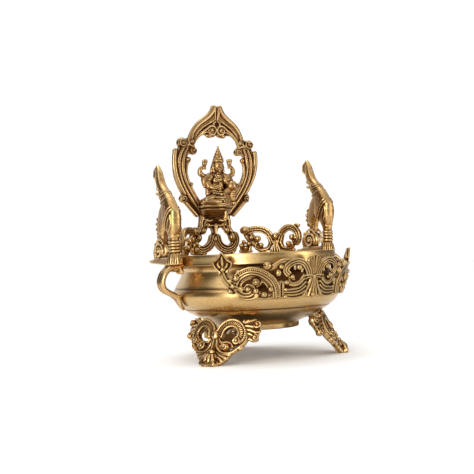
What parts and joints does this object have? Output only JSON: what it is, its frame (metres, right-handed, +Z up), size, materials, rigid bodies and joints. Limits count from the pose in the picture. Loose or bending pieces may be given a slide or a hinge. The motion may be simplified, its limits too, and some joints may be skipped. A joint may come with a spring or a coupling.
{
  "type": "footed brass urli bowl with elephants and shrine arch",
  "caption": "Round brass urli bowl on scroll feet with strap handles, elephants, openwork front apron, back galleries and an arched shrine holding a seated figure.",
  "frame": {"origin": "on the bowl's turning axis, on the floor between the three feet", "axes": "+Z up along the bowl's turning axis, -Y towards the front apron, +Y towards the shrine arch, +X towards the right-hand handle"},
  "size_m": [0.2456, 0.2151, 0.3004],
  "materials": {
    "turned_brass": "satin, turned",
    "cast_brass": "cast and antiqued, dark in the recesses",
    "fasteners": "plain"
  },
  "bodies": {
    "root": {"bowl": "turned_brass", "foot_front_left": "cast_brass", "foot_front_right": "cast_brass", "foot_back": "cast_brass", "foot_screws": "fasteners", "foot_washers": "fasteners", "foot_nuts": "fasteners", "handle_right": "turned_brass", "handle_left": "turned_brass", "handle_screws": "fasteners", "elephant_right": "cast_brass", "elephant_left": "cast_brass", "elephant_screws": "fasteners", "apron": "cast_brass", "apron_screws": "fasteners", "gallery_right": "cast_brass", "gallery_left": "cast_brass", "gallery_screws": "fasteners", "arch_frame": "cast_brass", "arch_screws": "fasteners", "lotus_seat": "cast_brass", "seat_screw": "fasteners", "seated_figure": "cast_brass", "figure_screw": "fasteners"}
  },
  "joints": []
}
